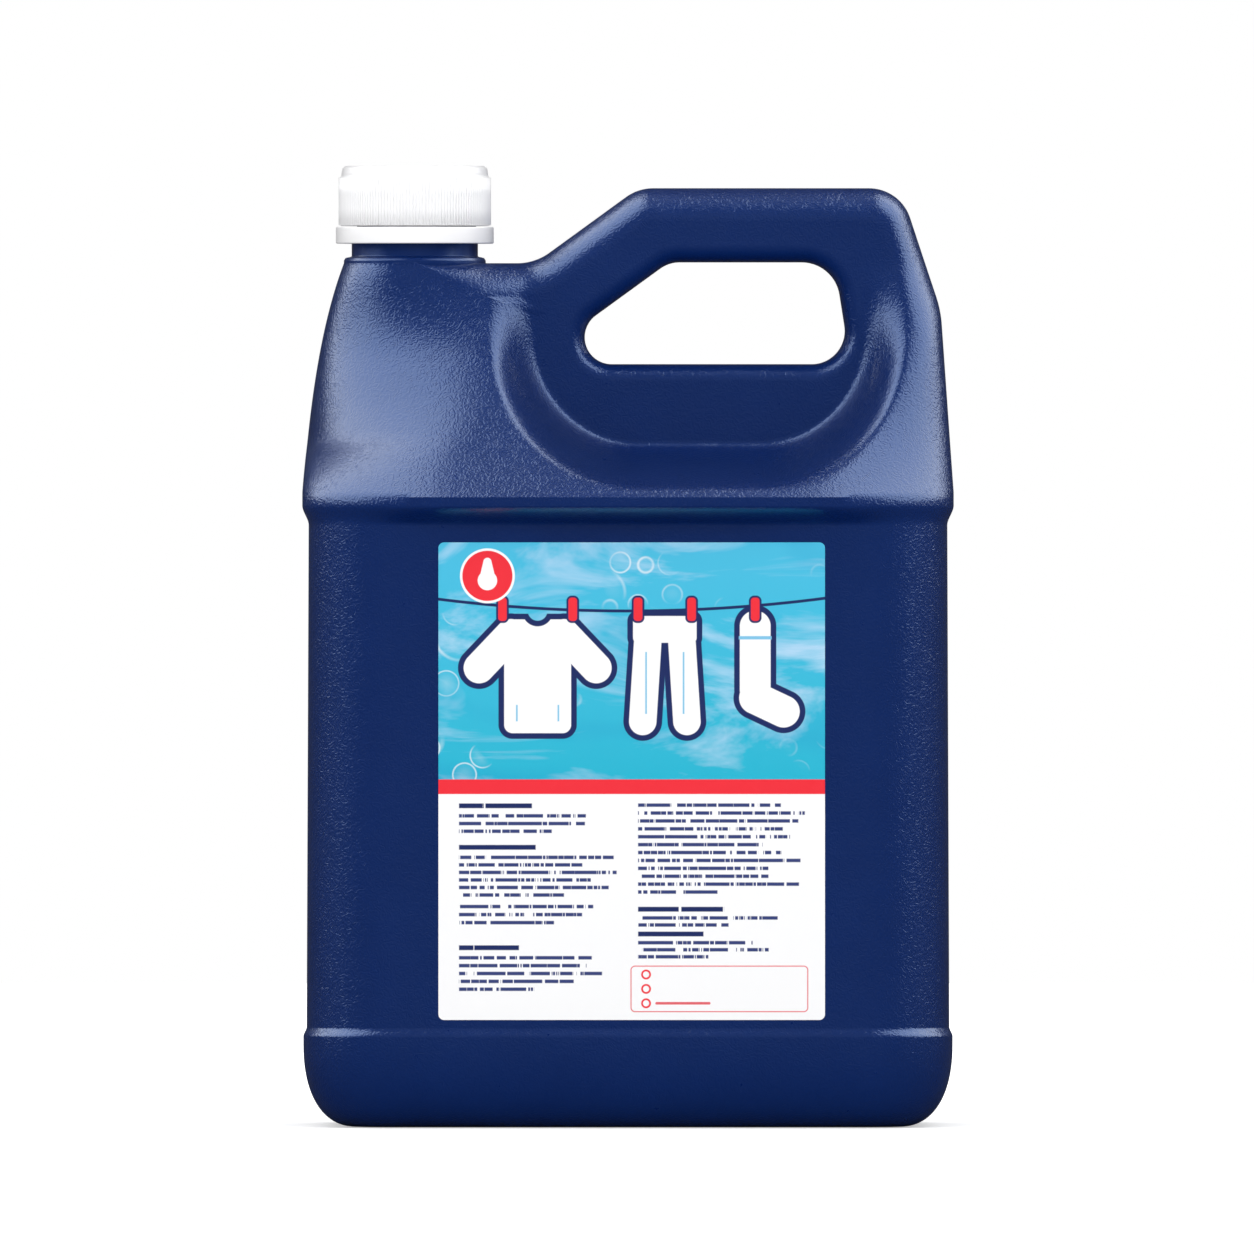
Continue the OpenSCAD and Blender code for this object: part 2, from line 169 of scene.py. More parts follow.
class Form:
    """The jug's closed form without its neck, inset millimetres under the outer skin.

    Its lower part is a stack of plan sections. Its upper part is a fan of lines that run from the
    outline, over the front, into the finger hole. The back mirrors the front.
    """

    def __init__(self, inset, fine):
        self.inset = inset
        self.left, self.land, self.saddle, self.slant = (round(n * fine) for n in (9, 4, 5, 3))
        self.bend, self.top, self.hip, self.flank = (round(n * fine) for n in (4, 4, 5, 4))
        self.right, self.front, self.arc = (round(n * fine) for n in (7, 14, 5))
        self.face, self.lip, self.link = (round(n * fine) for n in (14, 3, 2))
        self.base, self.rise = round(6 * fine), round(5 * fine)

    def depth(self, x, z):
        """Half depth of the front at any place, the edges of the handle and the hole apart."""
        t = self.inset
        rest = 1 - np.clip((z + t - SHOULDER_Z - 1.5) / (LAND_Z - SHOULDER_Z - 1.5), 0, 1)
        full = HALF_D - CROWN * (x / HALF_W) ** 2
        shoulder = LAND_R + (full - LAND_R) * rest ** 1.35
        dx = np.maximum(np.maximum(GRIP_LEFT - 39 + POCKET_R - x, x - (GRIP_RIGHT + 7 - POCKET_R)), 0)
        dz = np.maximum(POCKET_Z + POCKET_R - z, 0)
        wider = 4 * t * ease((z - SKIRT_Z) / 5)
        share = ease((np.hypot(dx, dz) - POCKET_R - wider) / POCKET_BAND)
        return mix(HANDLE_D / 2, shoulder, share) - t

    def section(self, z, w, d, along, across, crown):
        """Half a rounded rectangle in plan with a crowned front, from the left parting line to the right."""
        a = math.pi / 2 * shares(self.arc)
        left = np.stack([-w + along - along * np.cos(a), -d + across - across * np.sin(a)], -1)
        front = between((-w + along, -d), (w - along, -d), self.front)
        half = np.concatenate([left, front, left[::-1] * (-1, 1)])
        half[:, 1] -= crown * (1 - (half[:, 0] / HALF_W) ** 2)
        half = np.concatenate([[(-w, 0)], half, [(w, 0)]])
        return np.concatenate([half, np.full((len(half), 1), z)], 1)

    def sections(self):
        """Sections from the raised middle of the base up to the shoulder."""
        t = self.inset
        panel_w = HALF_W - PANEL_STEP
        base_w, base_d = panel_w + PANEL_DRAFT + BASE_STEP, PANEL_D + BASE_STEP

        def row(z, w, d, r=CORNER_R, along=None, crown=0.0):
            along = r if along is None else along
            return self.section(z, w - t, d - t, max(along - t, 3), max(r - t, 3), crown)

        def foot(z, inset):
            return row(z + t, base_w - inset, base_d - inset, CORNER_R - inset)

        push_up = ((PUSH_UP, 14), (PUSH_UP * 0.9, 12), (PUSH_UP * 0.1, 7), (0, 6))
        rows = [foot(z, BASE_ROUND + inwards) for z, inwards in push_up]
        for a in math.pi / 2 * (1 - shares(self.base)):
            inset = BASE_ROUND * (1 - math.cos(a) ** BASE_POWER)
            height = mix(t, BASE_H - 2, 1 - math.sin(a) ** BASE_POWER)
            rows.append(row(height, base_w - inset, base_d - inset, CORNER_R - inset))
        for u in shares(self.rise):
            out = 1 - float(ease(u))
            rows.append(row(BASE_H + 3 * u, mix(panel_w + PANEL_DRAFT, base_w, out), mix(PANEL_D, base_d, out)))
        for u in shares(self.rise * 3):
            s = float(ease(u))
            rows.append(row(SHOULDER_Z - 7 + 6 * u, mix(panel_w, HALF_W, s), mix(PANEL_D, HALF_D - CROWN, s),
                            along=mix(CORNER_R, SHOULDER_CORNER, s), crown=CROWN * s))
        for z in (SHOULDER_Z + 1.5, SKIRT_Z):
            middle = float(self.depth(0.0, z)) + t
            crown = CROWN * (middle - LAND_R) / (HALF_D - LAND_R)
            rows.append(row(z, HALF_W, middle - crown, along=SHOULDER_CORNER, crown=crown))
        return np.stack(rows)

    def outline(self):
        """Places on the parting line, the ways inwards and the edge radii along and across, in one loop."""
        t = self.inset
        u = shares(self.left)
        a, b = np.array((-HALF_W, SKIRT_Z)), np.array((-HALF_W + 3, mix(SKIRT_Z, LAND_Z, 0.65)))
        c = np.array((NECK_X - LAND_R, LAND_Z))
        left = mix(mix(a, b, u[:, None]), mix(b, c, u[:, None]), u[:, None])
        left += np.stack([np.full_like(u, t), -t * ease((u - 0.7) / 0.3)], -1)
        low, high = ease(u / 0.35), ease(u * 2 - 1)
        left_along = mix(mix(SHOULDER_CORNER, CONE_R, low), LAND_R, high) - t
        left_across = mix(CORNER_R, HALF_D, low) - t
        u = shares(self.land)
        land = np.stack([NECK_X + LAND_R * u, np.full_like(u, LAND_Z - t)], -1)
        run = np.array((math.cos(SLOPE), math.sin(SLOPE)))
        shift = np.array((GRIP_LEFT, GRIP_Z + GRIP_H)) + turn(run) * BAR_T
        start = np.array((NECK_X + LAND_R, LAND_Z))
        e = shift + run * (LAND_Z - shift[1]) / run[1]
        f = shift + run * (TOP_Z - shift[1]) / run[1]
        g = np.array((HALF_W - HIP_IN, TOP_Z))
        h = np.array((HALF_W - FLANK_IN, TOP_Z - FLANK_DOWN))
        end = np.array((HALF_W, SKIRT_Z))
        arc_e, arc_f = corner(start, e, f, 16.5, self.saddle), corner(e, f, g, 14, self.bend)
        arc_g, arc_h = corner(f, g, h, 13, self.hip), corner(g, h, end, 34, self.flank)
        bar = np.concatenate([arc_e, between(arc_e[-1], arc_f[0], self.slant), arc_f,
                              between(arc_f[-1], arc_g[0], self.top), arc_g,
                              between(arc_g[-1], arc_h[0], self.link), arc_h])
        path = np.concatenate([[start], bar, bar[-1:]])
        way = -turn(unit(path[2:] - path[:-2]))
        edge = HANDLE_EDGE - t
        u_right = shares(self.right)[1:]
        right = mix(bar[-1], end, u_right[:, None]) - (t, 0)
        right_along = mix(HANDLE_EDGE, SHOULDER_CORNER, ease(u_right)) - t
        right_across = mix(HANDLE_EDGE + 3, CORNER_R, ease(u_right)) - t
        front = between((HALF_W - SHOULDER_CORNER, SKIRT_Z), (SHOULDER_CORNER - HALF_W, SKIRT_Z), self.front)
        places = np.concatenate([left, land, bar + way * t, right, front])
        ways = np.concatenate([np.tile((1.0, 0.0), (len(left), 1)), np.tile((0.0, -1.0), (len(land), 1)), way,
                               np.tile((-1.0, 0.0), (len(right), 1)), np.tile((0.0, 1.0), (len(front), 1))])
        along = np.concatenate([left_along, u * edge, np.full(len(bar), edge), right_along, np.zeros(len(front))])
        across = np.concatenate([left_across, u * (edge + 3), np.full(len(bar), edge + 3), right_across,
                                 np.zeros(len(front))])
        return places, ways, along, across

    def finger_hole(self):
        """The hole's edge, with as many places as the outline."""
        top = GRIP_Z + GRIP_H
        a, b = (GRIP_LEFT - GRIP_H / math.tan(SLOPE), GRIP_Z), (GRIP_RIGHT + 4.8, GRIP_Z)
        c, d = (GRIP_RIGHT, top), (GRIP_LEFT, top)
        arc_a = corner(b, a, d, 8.1, self.left + self.land + self.saddle + 2)
        arc_d, arc_c = corner(a, d, c, 10, self.bend), corner(d, c, b, 11.5, self.hip)
        arc_b = corner(c, b, a, 10, self.right)
        return np.concatenate([arc_a, between(arc_a[-1], arc_d[0], self.slant), arc_d,
                               between(arc_d[-1], arc_c[0], self.top), arc_c,
                               between(arc_c[-1], arc_b[0], self.flank + self.link), arc_b,
                               between(arc_b[-1], arc_a[0], self.front)])

    def lines(self):
        """Lines over the front, each from the outline into the finger hole."""
        t = self.inset
        places, ways, along, across = self.outline()
        hole = self.finger_hole()
        away = turn(unit(np.roll(hole, -1, 0) - np.roll(hole, 1, 0)))
        inner, mouth = places + ways * along[:, None], hole + away * t
        lip = mouth + away * (GRIP_EDGE - t)

        def edge(p, flat, r):
            depth = self.depth(p[:, 0], p[:, 1])
            r = np.minimum(r, depth)
            return np.stack([p[:, 0], -np.maximum(depth - r + r * flat, 0.02), p[:, 1]], -1)

        def seam(p):
            return np.stack([p[:, 0], np.zeros(len(p)), p[:, 1]], -1)

        stops = [seam(places)]
        for a in math.pi / 2 * shares(self.arc):
            stops.append(edge(mix(places, inner, 1 - math.cos(a)), math.sin(a), across))
        for u in shares(self.face)[1:]:
            stops.append(edge(mix(inner, lip, u), 1, 0))
        for a in math.pi / 2 * (1 - shares(self.lip)[1:]):
            stops.append(edge(mix(mouth, lip, 1 - math.cos(a)), math.sin(a), GRIP_EDGE + 2 - t))
        stops.append(seam(mouth))
        return np.stack(stops, 1)

    def solid(self, name):
        rows, lines = self.sections(), self.lines()
        rim, face = lines[:len(lines) - self.front + 1, :self.arc + 2], lines[:, self.arc + 1:]
        foot = rows[0]
        middle = foot * (1, 0, 1)
        base = np.stack([middle[:-1], middle[1:], foot[1:], foot[:-1]], 1)
        front = np.concatenate([skin(rows), skin(rim), skin(face, closed=True), base])
        return weld(name, np.concatenate([front, front[:, ::-1] * (1, -1, 1)]))


def skin(grid, closed=False):
    """Quads between neighbouring lines of a grid of points."""
    if closed:
        grid = np.concatenate([grid, grid[:1]])
    return np.stack([grid[:-1, :-1], grid[:-1, 1:], grid[1:, 1:], grid[1:, :-1]], 2).reshape(-1, 4, 3)


def weld(name, quads):
    """A mesh object from loose quads in millimetres, welded, with collapsed sides left out."""
    points, index = np.unique(np.round(quads.reshape(-1, 3), 4) + 0.0, axis=0, return_inverse=True)
    faces = []
    for quad in index.reshape(-1, 4):
        ring = [int(v) for v, before in zip(quad, np.roll(quad, 1)) if v != before]
        if len(set(ring)) == len(ring) > 2:
            faces.append(ring)
    return mesh_object(name, points * MM, faces)


def mesh_object(name, points, faces):
    """A mesh object whose faces look outwards."""
    mesh = bpy.data.meshes.new(name)
    mesh.from_pydata([tuple(p) for p in points], [], faces)
    mesh.validate()
    build = bmesh.new()
    build.from_mesh(mesh)
    bmesh.ops.recalc_face_normals(build, faces=build.faces)
    build.to_mesh(mesh)
    build.free()
    mesh.shade_smooth()
    piece = bpy.data.objects.new(name, mesh)
    bpy.context.scene.collection.objects.link(piece)
    return piece


def combine(piece, *steps):
    """Runs boolean steps such as ("UNION", other) on a piece, and removes the tools."""
    for operation, tool in steps:
        modifier = piece.modifiers.new(operation.lower(), "BOOLEAN")
        modifier.operation, modifier.solver, modifier.object = operation, "MANIFOLD", tool
    bpy.context.view_layer.update()
    made = bpy.data.meshes.new_from_object(piece.evaluated_get(bpy.context.evaluated_depsgraph_get()))
    piece.modifiers.clear()
    piece.data = made
    for _, tool in steps:
        bpy.data.objects.remove(tool)
    return piece


def lathe(name, profile, segments=192, x=NECK_X):
    """A solid of revolution round the neck's axis, from a profile of (radius, height) that starts and ends on it."""
    profile = np.array(profile, float)
    a = 2 * math.pi * shares(segments)
    grid = np.stack([x + profile[:, :1] * np.cos(a), profile[:, :1] * np.sin(a),
                     np.repeat(profile[:, 1:], segments + 1, 1)], -1)
    grid[:, -1] = grid[:, 0]
    return weld(name, skin(grid)[:, ::-1])


def rounded(path, radius, n=6):
    """A profile whose inner corners are rounded."""
    points = [path[0]]
    for before, here, after in zip(path, path[1:], path[2:]):
        room = min(math.dist(before, here), math.dist(here, after)) * 0.45
        u, v = unit(np.array(before) - here), unit(np.array(after) - here)
        half = math.acos(float(np.clip(u @ v, -0.9999, 0.9999))) / 2
        r = min(radius, room * math.tan(half))
        points.extend(corner(before, here, after, r, n))
    points.append(path[-1])
    return points


def make_jug():
    """The hollow jug: the outer form and its neck, less the inner form and the neck's bore."""
    neck = lathe("neck_solid", rounded([
        (0, LAND_Z - 3), (LAND_R - 0.4, LAND_Z - 3), (LAND_R, LAND_Z), (LAND_R, LAND_Z + 0.8),
        (LAND_R - 0.5, LAND_Z + 1.6), (SHANK_R, LAND_Z + 2.0), (SHANK_R, BEAD_Z), (BEAD_R, BEAD_Z),
        (BEAD_R, BEAD_Z + 0.75), (ROOT_R, THREAD_Z), (ROOT_R, MOUTH_Z), (0, MOUTH_Z)], 0.35))
    bore = lathe("bore_tool", [
        (0, LAND_Z - 8), (MOUTH_R, LAND_Z - 8), (MOUTH_R, MOUTH_Z - 0.6), (MOUTH_R + 0.6, MOUTH_Z + 1),
        (0, MOUTH_Z + 1)])
    jug = combine(Form(0.0, 4).solid("jug"), ("UNION", neck), ("DIFFERENCE", Form(WALL, 1.2).solid("inside_tool")),
                  ("DIFFERENCE", bore))
    jug.data.set_sharp_from_angle(angle=math.radians(40))
    return jug


def make_cap():
    """The cap's smooth shell, a lathe form with a bead round the crown and a hollow inside."""
    return lathe("cap_shell", rounded([
        (0, CROWN_Z - 0.15), (CROWN_R - 4.2, CROWN_Z - 0.15), (CROWN_R - 3.6, CROWN_Z), (CROWN_R - 1.2, CROWN_Z),
        (CROWN_R - 0.3, CROWN_Z - 0.7), (CROWN_R, CROWN_Z - 2.2), (CROWN_R + 0.05, RIB_TOP_Z + 0.1),
        (RIB_R - RIB_DEPTH, RIB_TOP_Z - 0.3), (RIB_R - RIB_DEPTH, CAP_Z), (CAP_BORE_R, CAP_Z),
        (CAP_BORE_R, CEILING_Z), (0, CEILING_Z)], 0.5))


def make_tamper_ring():
    """The band left on the neck, with a hook inside that sits under the bead."""
    hook_r = SHANK_R + GAP
    inner_r = BEAD_R + GAP
    loop = [(hook_r, RING_Z + 0.9), (hook_r + 0.1, RING_Z), (RING_R, RING_Z), (RING_R, RING_Z + RING_H),
            (inner_r, RING_Z + RING_H), (inner_r, BEAD_Z - GAP), (hook_r, BEAD_Z - GAP), (hook_r, RING_Z + 0.9)]
    return lathe("tamper_band", rounded(loop, 0.45))


def make_liner():
    """The sealing wad between the mouth and the cap's ceiling."""
    r = CAP_BORE_R - 2 * GAP
    return lathe("sealing_wad", rounded([(0, CEILING_Z), (r, CEILING_Z), (r, MOUTH_Z), (0, MOUTH_Z)], 0.25))


def make_label():
    """A thin film with round corners on the front panel."""
    corners = [(0, 0), (0, LABEL_H), (LABEL_W, LABEL_H), (LABEL_W, 0)]
    loop = np.concatenate([corner(corners[i - 1], corners[i], corners[(i + 1) % 4], LABEL_R, 10) for i in range(4)])
    loop = loop + (LABEL_OFF - LABEL_W / 2, LABEL_Z)
    n = len(loop)
    back, front = -PANEL_D, -PANEL_D - LABEL_T
    edge = 0.04
    ring = [(loop, back), (loop, front + edge), (mix(loop, loop.mean(0), 0.0006), front)]
    points = [(p[0], y, p[1]) for places, y in ring for p in places]
    faces = [[i for i in range(n)][::-1], [2 * n + i for i in range(n)]]
    for k in range(2):
        faces += [[k * n + i, k * n + (i + 1) % n, (k + 1) * n + (i + 1) % n, (k + 1) * n + i] for i in range(n)]
    label = mesh_object("label_film", np.array(points) * MM, faces)
    label.data.shade_flat()
    return label


class Tree:
    """A Geometry Nodes tree that makes one piece, with named inputs for its sizes."""

    def __init__(self, name, inputs):
        self.group = bpy.data.node_groups.new(name, "GeometryNodeTree")
        self.group.interface.new_socket("Geometry", in_out="OUTPUT", socket_type="NodeSocketGeometry")
        kinds = {int: "NodeSocketInt", float: "NodeSocketFloat"}
        self.values = dict(inputs)
        for key, value in inputs.items():
            kind = "NodeSocketMaterial" if isinstance(value, bpy.types.Material) else kinds[type(value)]
            self.group.interface.new_socket(key, in_out="INPUT", socket_type=kind)
        self.inputs = self.group.nodes.new("NodeGroupInput").outputs

    def node(self, kind, values=None, out=0, **settings):
        """Adds a node, with its settings first and then values or links for its sockets."""
        node = self.group.nodes.new(kind)
        for key, value in settings.items():
            setattr(node, key, value)
        for key, value in (values or {}).items():
            if isinstance(value, bpy.types.NodeSocket):
                self.group.links.new(value, node.inputs[key])
            else:
                node.inputs[key].default_value = value
        return node.outputs[out]

    def piece(self, name, geometry, material):
        """Ends the tree, runs it on an empty mesh and returns the result as a plain mesh object."""
        solid = self.node("GeometryNodeRealizeInstances", {0: geometry})
        finish = self.node("GeometryNodeSetMaterial", {0: solid, "Material": self.inputs[material]})
        end = self.group.nodes.new("NodeGroupOutput")
        self.group.links.new(finish, end.inputs[0])
        seed = bpy.data.objects.new(name, bpy.data.meshes.new(name))
        bpy.context.scene.collection.objects.link(seed)
        modifier = seed.modifiers.new("shape", "NODES")
        modifier.node_group = self.group
        for item in self.group.interface.items_tree:
            if item.in_out == "INPUT":
                modifier[item.identifier] = self.values[item.name]
        bpy.context.view_layer.update()
        made = bpy.data.meshes.new_from_object(seed.evaluated_get(bpy.context.evaluated_depsgraph_get()))
        seed.modifiers.clear()
        seed.data = made
        made.name = name
        made.shade_smooth()
        return seed


def make_ribs(material):
    """Fine ribs round the cap's skirt: one round bar, set upright on each point of a circle."""
    tree = Tree("ribs round a skirt", {"Ribs": RIB_COUNT, "Skirt radius": (RIB_R - RIB_DEPTH) * MM,
                                       "Rib radius": RIB_BAR_R * MM, "Height": (RIB_TOP_Z - CAP_Z - RIB_ROOM) * MM,
                                       "Foot": (CAP_Z + RIB_FOOT) * MM, "Finish": material})
    made = tree.inputs
    circle = tree.node("GeometryNodeMeshCircle", {"Vertices": made["Ribs"], "Radius": made["Skirt radius"]})
    bar = tree.node("GeometryNodeMeshCylinder", {"Vertices": 10, "Side Segments": 3, "Radius": made["Rib radius"],
                                                 "Depth": made["Height"]})
    half = tree.node("ShaderNodeMath", {0: made["Height"], 1: 0.5}, operation="MULTIPLY")
    lift = tree.node("ShaderNodeMath", {0: half, 1: made["Foot"]}, operation="ADD")
    offset = tree.node("ShaderNodeCombineXYZ", {"X": NECK_X * MM, "Z": lift})
    placed = tree.node("GeometryNodeSetPosition", {"Geometry": circle, "Offset": offset})
    ribs = tree.node("GeometryNodeInstanceOnPoints", {"Points": placed, "Instance": bar})
    return tree.piece("cap_ribs", ribs, "Finish")


def make_thread(name, material, root_r, height, z0, turns):
    """A helical thread that fades in and out: a tapered profile swept along a spiral."""
    tree = Tree("thread " + name, {"Turns": float(turns), "Root radius": root_r * MM, "Pitch": THREAD_PITCH * MM,
                                   "Ridge": height * MM, "Start height": z0 * MM, "Finish": material})
    made = tree.inputs
    rise = tree.node("ShaderNodeMath", {0: made["Turns"], 1: made["Pitch"]}, operation="MULTIPLY")
    spiral = tree.node("GeometryNodeCurveSpiral", {"Resolution": 64, "Rotations": made["Turns"], "Height": rise,
                                                   "Start Radius": made["Root radius"],
                                                   "End Radius": made["Root radius"]})
    offset = tree.node("ShaderNodeCombineXYZ", {"X": NECK_X * MM, "Z": made["Start height"]})
    placed = tree.node("GeometryNodeSetPosition", {"Geometry": spiral, "Offset": offset})
    along = tree.node("GeometryNodeSplineParameter")
    both = tree.node("ShaderNodeMath", {0: along, 1: 0.5}, operation="PINGPONG")
    grow = tree.node("ShaderNodeMapRange", {"Value": both, "From Max": 0.04, "To Min": 0.02, "To Max": 1.0})
    sized = tree.node("GeometryNodeSetCurveRadius", {0: placed, "Radius": grow})
    ring = tree.node("GeometryNodeCurvePrimitiveCircle", {"Resolution": 10, "Radius": made["Ridge"]})
    swept = tree.node("GeometryNodeCurveToMesh", {"Curve": sized, "Profile Curve": ring, "Fill Caps": True})
    return tree.piece(name, swept, "Finish")


class Value:
    """A number socket of a shader tree, with arithmetic that adds Math nodes."""

    def __init__(self, shader, socket):
        self.shader, self.socket = shader, socket

    def _math(self, operation, *others):
        values = {i: v for i, v in enumerate((self,) + others)}
        return self.shader.node("ShaderNodeMath", values, operation=operation)

    def __add__(self, other):
        return self._math("ADD", other)

    __radd__ = __add__

    def __sub__(self, other):
        return self._math("SUBTRACT", other)

    def __rsub__(self, other):
        return self.shader.node("ShaderNodeMath", {0: other, 1: self}, operation="SUBTRACT")

    def __mul__(self, other):
        return self._math("MULTIPLY", other)

    __rmul__ = __mul__

    def __truediv__(self, other):
        return self._math("DIVIDE", other)

    def __lt__(self, other):
        return self._math("LESS_THAN", other)

    def __gt__(self, other):
        return self._math("GREATER_THAN", other)

    def __abs__(self):
        return self._math("ABSOLUTE")

    def low(self, other):
        return self._math("MINIMUM", other)

    def high(self, other):
        return self._math("MAXIMUM", other)

    def root(self):
        return self._math("SQRT")

    def sine(self):
        return self._math("SINE")

    def floor(self):
        return self._math("FLOOR")

    def within(self, soft):
        """1 where this distance is negative, falling to 0 over the width soft."""
        return self.shader.node("ShaderNodeMapRange", {"Value": self, "From Min": -soft, "From Max": soft,
                                                       "To Min": 1.0, "To Max": 0.0})


class Shader:
    """A material with one Principled surface."""

    def __init__(self, name, **surface):
        self.material = bpy.data.materials.new(name)
        self.material.use_nodes = True
        self.tree = self.material.node_tree
        self.surface = self.tree.nodes["Principled BSDF"]
        for key, value in surface.items():
            self.surface.inputs[key.replace("_", " ").title()].default_value = value

    def node(self, kind, values=None, out=0, **settings):
        """Adds a node, with its settings first and then values or links for its sockets."""
        node = self.tree.nodes.new(kind)
        for key, value in settings.items():
            setattr(node, key, value)
        for key, value in (values or {}).items():
            if isinstance(value, Value):
                value = value.socket
            if isinstance(value, bpy.types.NodeSocket):
                self.tree.links.new(value, node.inputs[key])
            else:
                node.inputs[key].default_value = value
        socket = node.outputs[out]
        return socket if socket.type != "VALUE" else Value(self, socket)

    def set(self, name, value):
        socket = value.socket if isinstance(value, Value) else value
        self.tree.links.new(socket, self.surface.inputs[name])

    def place(self):
        return self.node("ShaderNodeTexCoord", out="Object")

    def axes(self):
        """X, Y and Z of the place in millimetres."""
        split = self.tree.nodes.new("ShaderNodeSeparateXYZ")
        self.tree.links.new(self.place(), split.inputs[0])
        return [Value(self, split.outputs[i]) * 1000.0 for i in range(3)]

    def noise(self, scale, detail=2.0, roughness=0.5, distortion=0.0, vector=None):
        return self.node("ShaderNodeTexNoise", {"Vector": vector or self.place(), "Scale": scale, "Detail": detail,
                                                "Roughness": roughness, "Distortion": distortion})

    def blend(self, share, a, b):
        """Colour a where share is 0 and colour b where it is 1."""
        node = self.tree.nodes.new("ShaderNodeMix")
        node.data_type = "RGBA"
        for key, value in ((0, share), (6, a), (7, b)):
            value = value.socket if isinstance(value, Value) else value
            if isinstance(value, bpy.types.NodeSocket):
                self.tree.links.new(value, node.inputs[key])
            else:
                node.inputs[key].default_value = value
        return node.outputs[2]

    def bump(self, height, distance, strength=1.0):
        values = {"Height": height, "Distance": distance, "Strength": strength}
        self.set("Normal", self.node("ShaderNodeBump", values))


def srgb(red, green, blue):
    """A colour given as 0 to 255 sRGB, in Blender's linear light."""
    def linear(c):
        c /= 255
        return c / 12.92 if c <= 0.04045 else ((c + 0.055) / 1.055) ** 2.4
    return (linear(red), linear(green), linear(blue), 1.0)


def blown_plastic():
    """Navy polyethylene with a fine ridged grain, smooth on the neck, and a faint parting line."""
    s = Shader("navy blown polyethylene", roughness=0.3)
    s.surface.inputs["Specular Tint"].default_value = (0.48, 0.67, 1.0, 1.0)
    s.surface.inputs["Specular IOR Level"].default_value = 0.68
    x, y, z = s.axes()
    neck = (x < NECK_X + LAND_R) * (z > LAND_Z)
    ridges = (s.noise(540.0, 1.0) * 26.0).sine() * (1.0 - neck)
    fine = s.noise(1800.0, 2.0)
    broad = s.noise(60.0, 3.0)
    line = (abs(y) - 0.22).within(0.14)
    s.bump(ridges * 0.24 + fine * 0.2 + line * 0.9, 0.00013, 0.7)
    s.set("Base Color", s.blend(broad, srgb(4, 31, 87), srgb(6, 35, 94)))
    s.set("Roughness", s.node("ShaderNodeMapRange", {"Value": s.noise(220.0, 4.0), "To Min": 0.26, "To Max": 0.31}))
    return s.material


def cap_plastic():
    """White polypropylene, with a slight change of tone and gloss."""
    s = Shader("white moulded polypropylene", roughness=0.32)
    s.set("Base Color", s.blend(s.noise(90.0, 2.0), srgb(243, 243, 245), srgb(246, 246, 247)))
    s.set("Roughness", s.node("ShaderNodeMapRange", {"Value": s.noise(400.0, 3.0), "To Min": 0.26, "To Max": 0.38}))
    s.bump(s.noise(1200.0, 2.0), 0.00002, 0.4)
    return s.material


def foam():
    """The wad's foam, with fine open cells."""
    s = Shader("white closed-cell foam", roughness=0.85)
    s.set("Base Color", s.blend(s.noise(800.0, 3.0), srgb(232, 232, 226), srgb(243, 243, 239)))
    s.bump(s.noise(2500.0, 3.0), 0.00008, 0.8)
    return s.material


class Plane:
    """Distances to flat shapes in a plane with its own origin, in millimetres."""

    def __init__(self, x, z):
        self.x, self.z = x, z

    def at(self, x, z, mirrored=False):
        x = self.x - x
        return Plane(abs(x) if mirrored else x, self.z - z)

    def reach(self):
        return (self.x * self.x + self.z * self.z).root()

    def disc(self, r):
        return self.reach() - r

    def box(self, w, h, r=0.0):
        """A rectangle w wide and h high round the origin, its corners round by r."""
        dx, dz = abs(self.x) - (w / 2 - r), abs(self.z) - (h / 2 - r)
        return Plane(dx.high(0.0), dz.high(0.0)).reach() + dx.high(dz).low(0.0) - r

    def bar(self, a, b, r):
        """A round-ended bar from a to b."""
        (ax, az), (bx, bz) = a, b
        ux, uz = bx - ax, bz - az
        dx, dz = self.x - ax, self.z - az
        share = ((dx * ux + dz * uz) / (ux * ux + uz * uz)).high(0.0).low(1.0)
        return Plane(dx - share * ux, dz - share * uz).reach() - r


